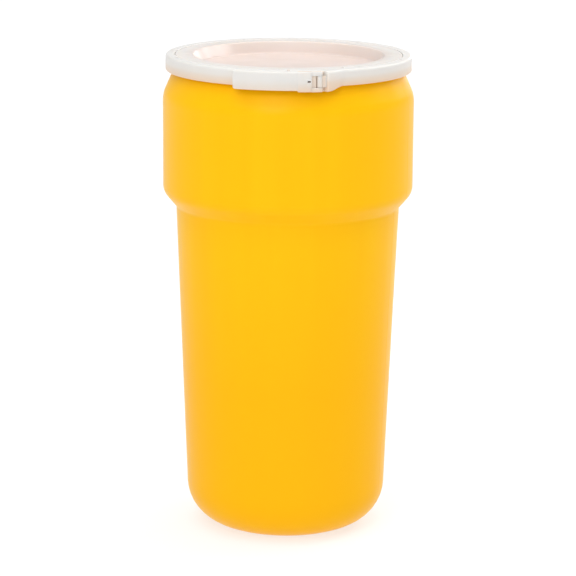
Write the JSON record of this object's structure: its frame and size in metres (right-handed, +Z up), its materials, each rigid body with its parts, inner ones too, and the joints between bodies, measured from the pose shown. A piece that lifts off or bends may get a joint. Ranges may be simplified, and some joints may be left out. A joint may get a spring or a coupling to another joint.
{
  "type": "overpack salvage drum",
  "caption": "Tapered open-head plastic overpack drum with a wide upper band, a recessed gasketed lid and a lever-lock clamping ring.",
  "frame": {"origin": "centre of the foot, on the floor", "axes": "+Z up along the drum's axis, the lever at the front on -Y, +X to the right of someone facing the lever"},
  "size_m": [0.4199, 0.4276, 0.806],
  "materials": {
    "drum_yellow": "blow-moulded polyethylene, softly glossy",
    "lid_natural": "natural, slightly translucent polyethylene",
    "ring_white": "natural white moulded plastic",
    "gasket_grey": "closed-cell foam",
    "pin_grey": "smooth moulded pin"
  },
  "bodies": {
    "drum": {"drum_body": "drum_yellow"},
    "lid": {"lid": "lid_natural", "lid_gasket": "gasket_grey"},
    "ring_rear": {"ring_band_rear": "ring_white"},
    "ring_left": {"ring_band_left": "ring_white", "anchor_cleat": "ring_white"},
    "ring_right": {"ring_band_right": "ring_white", "hinge_boss": "ring_white", "fulcrum_pin": "pin_grey"},
    "lever": {"lever": "ring_white", "link_pin": "pin_grey"},
    "link": {"draw_link": "ring_white"}
  },
  "joints": [
    {"name": "lid_lift", "type": "slide", "parent": "drum", "child": "lid", "axis": [0, 0, 1], "range_m": [0, 0.3]},
    {"name": "ring_lift", "type": "slide", "parent": "lid", "child": "ring_rear", "axis": [0, 0, 1], "range_m": [0, 0.12], "deforming": ["ring_band_rear"]},
    {"name": "ring_left_spread", "type": "hinge", "parent": "ring_rear", "child": "ring_left", "pos_m": [-0.12652, 0.16194, 0.806], "axis": [0, 0, 1], "range_deg": [-2.5, 0], "deforming": ["ring_band_left"]},
    {"name": "ring_right_spread", "type": "hinge", "parent": "ring_rear", "child": "ring_right", "pos_m": [0.12652, 0.16194, 0.806], "axis": [0, 0, 1], "range_deg": [0, 2.5], "deforming": ["ring_band_right"]},
    {"name": "lever_swing", "type": "hinge", "parent": "ring_right", "child": "lever", "pos_m": [0.04944, -0.20595, 0.806], "axis": [0, 0, 1], "range_deg": [0, 125]},
    {"name": "link_fold", "type": "hinge", "parent": "lever", "child": "link", "pos_m": [0.03127, -0.20675, 0.806], "axis": [0, 0, 1], "range_deg": [-50, 0]}
  ],
  "couplings": [
    {"joint": "ring_left_spread", "follows": "lever_swing", "ratio": -0.0165},
    {"joint": "ring_right_spread", "follows": "lever_swing", "ratio": 0.0165},
    {"joint": "link_fold", "follows": "lever_swing", "ratio": -0.3}
  ]
}
